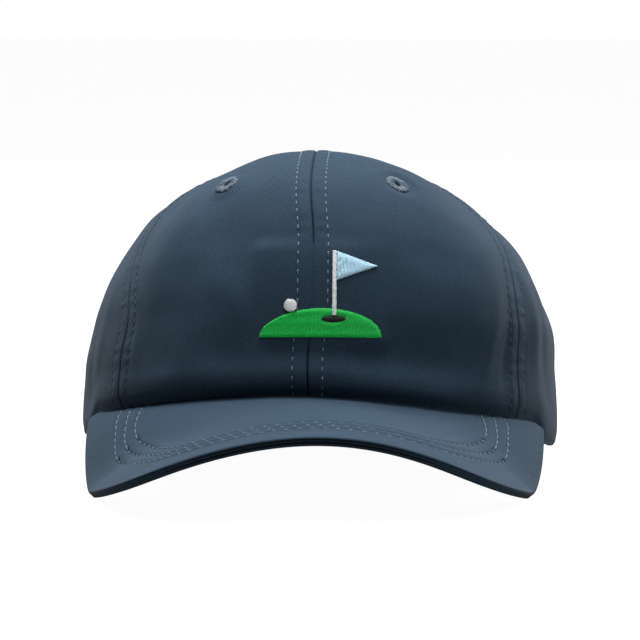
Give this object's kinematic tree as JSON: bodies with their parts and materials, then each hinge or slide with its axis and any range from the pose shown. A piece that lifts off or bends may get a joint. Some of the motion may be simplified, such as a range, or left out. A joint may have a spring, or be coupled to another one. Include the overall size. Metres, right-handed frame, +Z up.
{
  "type": "baseball cap",
  "caption": "Soft low cotton cap with a curved stitched visor, a cloth-covered button, an embroidered flag motif and an adjustable buckled back strap.",
  "frame": {"origin": "on the table, in the middle of the whole cap's footprint box, with the cap standing on its visor's corners and its rear rim", "axes": "+Z up, -Y towards the visor, +X towards the wearer's left"},
  "size_m": [0.1748, 0.2591, 0.1197],
  "materials": {
    "navy_twill": "matt cotton twill",
    "navy_tape": "matt cotton tape",
    "sweatband_twill": "matt cotton twill",
    "white_interlining": "matt felt",
    "white_backing": "matt non-woven",
    "stitch_thread": "soft sheen",
    "eyelet_thread": "soft sheen",
    "pressed_metal": "plated",
    "visor_plastic": "matt",
    "antique_brass": "aged satin",
    "thread_green": "glossy thread",
    "thread_white": "glossy thread",
    "thread_light_blue": "glossy thread",
    "thread_black": "glossy thread",
    "label_satin": "satin"
  },
  "bodies": {
    "cap": {"back_opening_binding": "navy_twill", "buckle_frame": "antique_brass", "buckle_pin": "antique_brass", "buckle_tab": "navy_twill", "button_cover": "navy_twill", "button_rivet": "pressed_metal", "button_shell": "pressed_metal", "button_washer": "pressed_metal", "crown_panel_back_left": "navy_twill", "crown_panel_back_right": "navy_twill", "crown_panel_front_left": "navy_twill", "crown_panel_front_right": "navy_twill", "crown_panel_side_left": "navy_twill", "crown_panel_side_right": "navy_twill", "crown_topstitching": "stitch_thread", "embroidery_backing": "white_backing", "embroidery_black": "thread_black", "embroidery_green": "thread_green", "embroidery_light_blue": "thread_light_blue", "embroidery_white": "thread_white", "seam_tape_back_left": "navy_tape", "seam_tape_back_right": "navy_tape", "seam_tape_centre": "navy_tape", "seam_tape_front_left": "navy_tape", "seam_tape_front_right": "navy_tape", "sweatband": "sweatband_twill", "sweatband_interlining": "white_interlining", "sweatband_stitching": "stitch_thread", "ventilation_eyelets": "eyelet_thread", "visor_board": "visor_plastic", "visor_stitching": "stitch_thread", "visor_top_cover": "navy_twill", "visor_under_cover": "navy_twill"},
    "strap": {"strap": "navy_twill", "strap_stitching": "stitch_thread"},
    "lever": {"buckle_lever": "antique_brass"},
    "label": {"care_label": "label_satin"}
  },
  "joints": [
    {"name": "strap_adjust", "type": "hinge", "parent": "cap", "child": "strap", "pos_m": [0, 0.04436, 0.02308], "axis": [0, 0.1444, 0.9895], "range_deg": [-26, 26]},
    {"name": "lever_open", "type": "hinge", "parent": "cap", "child": "lever", "pos_m": [0.02209, 0.12599, 0.01117], "axis": [0, 0.1444, 0.9895], "range_deg": [0, 105]},
    {"name": "label_flip", "type": "hinge", "parent": "cap", "child": "label", "pos_m": [-0.07109, 0.07281, 0.03884], "axis": [-0.342, -0.9299, 0.1357], "range_deg": [0, 130]}
  ]
}
